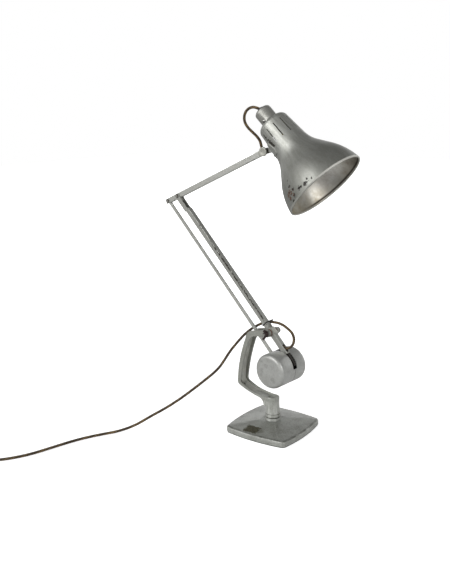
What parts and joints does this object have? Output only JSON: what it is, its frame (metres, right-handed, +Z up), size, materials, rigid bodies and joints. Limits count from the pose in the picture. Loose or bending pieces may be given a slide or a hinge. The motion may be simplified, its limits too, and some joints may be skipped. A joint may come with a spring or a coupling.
{
  "type": "tabletop searchlight lamp",
  "caption": "Balanced-arm desk lamp: square cast base, C-shaped swivel bracket, parallel arms, slotted drum counterweight and a tilting trumpet shade.",
  "frame": {"origin": "centre of the base's underside on the table, on the swivel axis", "axes": "+Z up, +X from the counterweight side towards the shade in the plane of the arms, +Y along the arm's hinge axes"},
  "size_m": [0.7448, 0.695, 0.7459],
  "materials": {
    "base_paint": "worn grey satin paint over a coarse casting",
    "felt": "dark green-grey felt",
    "bracket_paint": "worn green-grey paint over a coarse casting",
    "arm_paint": "light grey satin enamel with small chips",
    "shade_paint": "mid grey satin enamel, pale and silvery inside",
    "drum_paint": "light grey enamel over a solid casting",
    "plain_steel": "dull zinc plating",
    "rusty_steel": "rusted dark brown steel",
    "fibre": "red-brown fibre",
    "flex_braid": "dark brown braided sleeve with an ochre fleck",
    "black_rubber": "soft black rubber",
    "plug_plastic": "dark moulded plastic",
    "brass": "dull brass",
    "holder_plastic": "dark brown moulded plastic",
    "cover_metal": "grey painted spun aluminium",
    "ivory": "ivory moulded plastic",
    "opal_glass": "white frosted glass"
  },
  "bodies": {
    "base": {"base_casting": "base_paint", "base_felt": "felt", "swivel_spindle": "plain_steel", "spindle_washer": "plain_steel", "spindle_nut": "plain_steel", "swivel_washer": "plain_steel"},
    "bracket": {"bracket_casting": "bracket_paint", "pivot_bolt": "plain_steel", "near_fibre_washer": "fibre", "far_fibre_washer": "fibre", "wing_washer": "plain_steel", "mains_flex": "flex_braid", "mains_coil": "flex_braid", "plug_tail": "flex_braid", "plug_body": "plug_plastic", "plug_pins": "brass"},
    "wing_nut": {"wing_nut": "rusty_steel"},
    "main_arm": {"main_arm_tube": "arm_paint", "pivot_bush": "brass", "pivot_saddle": "bracket_paint", "arm_lower_eye": "arm_paint", "elbow_yoke": "arm_paint", "flex_tie": "black_rubber", "lower_flex_loop": "flex_braid", "main_arm_wires": "black_rubber"},
    "upper_arm": {"upper_arm_tube": "arm_paint", "elbow_pin": "plain_steel", "rear_pin": "plain_steel", "arm_end_socket": "plain_steel", "upper_arm_wires": "black_rubber"},
    "parallel_bar": {"parallel_bar": "arm_paint"},
    "drum": {"drum_near_half": "drum_paint", "drum_far_half": "drum_paint", "drum_arm_pin": "plain_steel", "drum_bar_pin": "plain_steel"},
    "knuckle": {"head_knuckle": "arm_paint"},
    "shade": {"shade": "shade_paint", "shade_bracket": "shade_paint", "bracket_rivets": "shade_paint", "tilt_screw": "arm_paint", "tilt_nut": "plain_steel", "lampholder_cover": "cover_metal", "lampholder_body": "holder_plastic", "shade_ring": "holder_plastic", "cover_grommet": "black_rubber", "bulb_cap": "brass", "bulb_glass": "opal_glass", "head_flex_loop": "flex_braid"},
    "switch": {"switch_bar": "ivory"}
  },
  "joints": [
    {"name": "base_swivel", "type": "hinge", "parent": "base", "child": "bracket", "pos_m": [0, 0, 0.031], "axis": [0, 0, 1], "range_deg": [-170, 170]},
    {"name": "arm_pitch", "type": "hinge", "parent": "bracket", "child": "main_arm", "pos_m": [-0.003, 0, 0.237], "axis": [0, 1, 0], "range_deg": [-20, 35], "deforming": ["mains_flex"]},
    {"name": "wing_nut_turn", "type": "hinge", "parent": "bracket", "child": "wing_nut", "pos_m": [-0.003, 0, 0.237], "axis": [0, 1, 0], "range_deg": [-180, 180]},
    {"name": "elbow", "type": "hinge", "parent": "main_arm", "child": "upper_arm", "pos_m": [-0.29196, 0, 0.53208], "axis": [0, 1, 0], "range_deg": [-45, 35]},
    {"name": "drum_follow", "type": "hinge", "parent": "main_arm", "child": "drum", "pos_m": [0.05927, 0, 0.17341], "axis": [0, 1, 0], "range_deg": [-45, 35]},
    {"name": "bar_follow", "type": "hinge", "parent": "upper_arm", "child": "parallel_bar", "pos_m": [-0.32697, 0, 0.51729], "axis": [0, 1, 0], "range_deg": [-35, 45]},
    {"name": "head_roll", "type": "hinge", "parent": "upper_arm", "child": "knuckle", "pos_m": [-0.01892, 0, 0.64741], "axis": [0.9212, 0, 0.3891], "range_deg": [-80, 80]},
    {"name": "head_tilt", "type": "hinge", "parent": "knuckle", "child": "shade", "pos_m": [-0.01892, 0, 0.64741], "axis": [-0.0366, 0.9956, 0.0867], "range_deg": [-55, 60], "deforming": ["head_flex_loop"]},
    {"name": "switch_slide", "type": "slide", "parent": "shade", "child": "switch", "axis": [0.007, 0.9916, 0.1293], "range_m": [-0.0025, 0.0025]}
  ],
  "couplings": [
    {"joint": "drum_follow", "follows": "elbow", "ratio": 1},
    {"joint": "bar_follow", "follows": "elbow", "ratio": -1}
  ]
}
